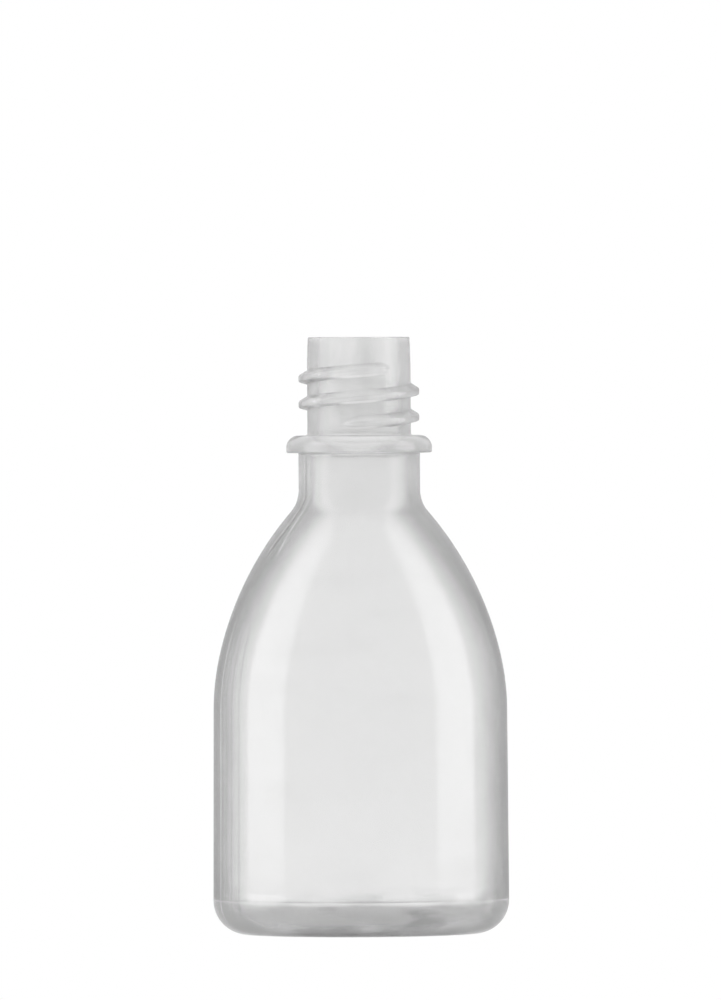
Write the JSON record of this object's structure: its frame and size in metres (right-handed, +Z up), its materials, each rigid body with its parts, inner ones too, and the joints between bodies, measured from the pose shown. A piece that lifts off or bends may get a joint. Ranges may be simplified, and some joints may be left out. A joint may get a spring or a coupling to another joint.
{
  "type": "narrow neck bottle",
  "caption": "Small round translucent plastic bottle with a sloping shoulder, a collar and an open screw-thread neck, blown in one piece.",
  "frame": {"origin": "centre of the bottle's round base, on the plane it stands on", "axes": "+Z up along the axis, out of the mouth; -Y is the front, towards the camera of the picture; +X is the viewer's right"},
  "size_m": [0.0342, 0.0342, 0.0692],
  "materials": {
    "natural_polyethylene": "satin, milky and see-through, uncoloured"
  },
  "bodies": {
    "root": {"bottle": "natural_polyethylene"}
  },
  "joints": []
}
